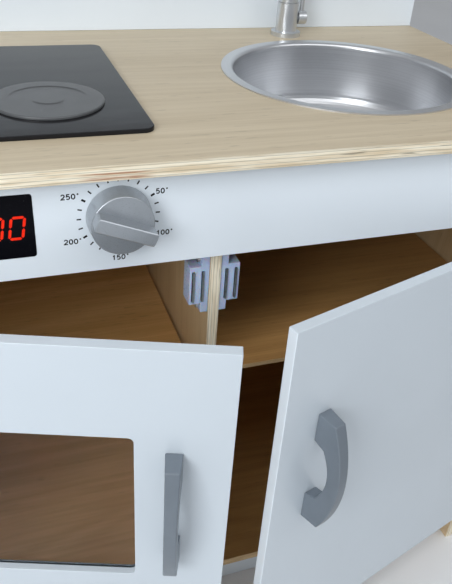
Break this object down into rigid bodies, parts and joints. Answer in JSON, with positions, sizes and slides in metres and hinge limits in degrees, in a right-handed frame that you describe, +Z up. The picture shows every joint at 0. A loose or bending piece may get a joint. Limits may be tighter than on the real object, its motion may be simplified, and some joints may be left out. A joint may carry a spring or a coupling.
{
  "type": "toy kitchen",
  "caption": "Plywood toy kitchen: oven and cupboard doors with magnetic catches, clock fascia with turning knobs, hob, lift-out sink bowl and tap.",
  "frame": {"origin": "on the floor, at the middle of the divider's bottom edge", "axes": "+X to the right along the front, +Y towards the back, +Z up"},
  "size_m": [0.612, 0.4166, 0.5892],
  "materials": {
    "birch_ply": "oiled birch plywood with light layered edges",
    "birch_inside": "raw birch plywood, horizontal grain",
    "white_lacquer": "cool white satin lacquer on 8 mm board",
    "knob_grey": "silver-grey metallic satin plastic",
    "slate_grey": "slate-grey satin moulded plastic",
    "catch_plastic": "milky translucent bluish-white plastic",
    "steel": "zinc-plated steel",
    "sink_steel": "brushed stainless steel",
    "tap_silver": "satin silver",
    "display_black": "glossy black acrylic",
    "digit_red": "bright red print",
    "hob_black": "glossy black plate",
    "hob_grey": "dark grey satin",
    "clear_pane": "clear acrylic sheet",
    "ferrite": "dull dark grey ferrite",
    "shaft_wood": "turned birch"
  },
  "bodies": {
    "cabinet": {"side_panel_left": "birch_ply", "side_panel_right": "birch_ply", "divider_panel": "birch_ply", "worktop": "birch_ply", "carcass_dowels": "birch_ply", "bottom_panel_left": "birch_inside", "bottom_panel_right": "birch_inside", "back_panel": "birch_inside", "shelf_left": "birch_inside", "shelf_right": "birch_inside", "plinth_left": "white_lacquer", "plinth_right": "white_lacquer", "splashback": "white_lacquer", "fascia_panel": "white_lacquer", "catch_housing_left": "catch_plastic", "catch_housing_right": "catch_plastic", "shelf_pegs": "steel", "catch_pole_plates": "steel", "catch_screws": "steel", "hinge_leaves_side": "steel", "hinge_pins": "steel", "hinge_screws_side": "steel", "carcass_screws": "steel", "back_screws": "steel", "tap_base": "tap_silver", "tap_nut": "tap_silver", "display_panel": "display_black", "clock_digits": "digit_red", "hob_plate": "hob_black", "hob_ring_large": "hob_grey", "hob_ring_small": "hob_grey", "catch_magnets": "ferrite"},
    "oven_door": {"door_panel_left": "white_lacquer", "oven_window": "clear_pane", "window_retainer": "slate_grey", "handle_left": "slate_grey", "handle_screws_left": "steel", "strike_plate_left": "steel", "hinge_leaves_door_left": "steel", "door_screws_left": "steel"},
    "cupboard_door": {"door_panel_right": "white_lacquer", "handle_right": "slate_grey", "handle_screws_right": "steel", "strike_plate_right": "steel", "hinge_leaves_door_right": "steel", "door_screws_right": "steel"},
    "dial_left": {"knob_left": "knob_grey", "knob_shaft_left": "shaft_wood", "knob_washer_left": "steel", "knob_screw_left": "steel"},
    "dial_right": {"knob_right": "knob_grey", "knob_shaft_right": "shaft_wood", "knob_washer_right": "steel", "knob_screw_right": "steel"},
    "spout": {"tap_spout": "tap_silver"},
    "lever": {"tap_lever": "tap_silver"},
    "bowl": {"sink_bowl": "sink_steel"}
  },
  "joints": [
    {"name": "oven_door_hinge", "type": "hinge", "parent": "cabinet", "child": "oven_door", "pos_m": [-0.3016, -0.1428, 0.2], "axis": [0, 0, -1], "range_deg": [-19, 85]},
    {"name": "cupboard_door_hinge", "type": "hinge", "parent": "cabinet", "child": "cupboard_door", "pos_m": [0.3016, -0.1428, 0.2], "axis": [0, 0, 1], "range_deg": [-16.8, 85]},
    {"name": "dial_left_turn", "type": "hinge", "parent": "cabinet", "child": "dial_left", "pos_m": [-0.233, -0.15, 0.443], "axis": [0, -1, 0], "continuous": true},
    {"name": "dial_right_turn", "type": "hinge", "parent": "cabinet", "child": "dial_right", "pos_m": [-0.067, -0.15, 0.443], "axis": [0, -1, 0], "continuous": true},
    {"name": "spout_swivel", "type": "hinge", "parent": "cabinet", "child": "spout", "pos_m": [0.15, 0.116, 0.5], "axis": [0, 0, 1], "range_deg": [-60, 60]},
    {"name": "lever_tilt", "type": "hinge", "parent": "cabinet", "child": "lever", "pos_m": [0.15, 0.116, 0.496], "axis": [1, 0, 0], "range_deg": [0, 60]},
    {"name": "bowl_lift", "type": "slide", "parent": "cabinet", "child": "bowl", "axis": [0, 0, 1], "range_m": [0, 0.06]}
  ]
}
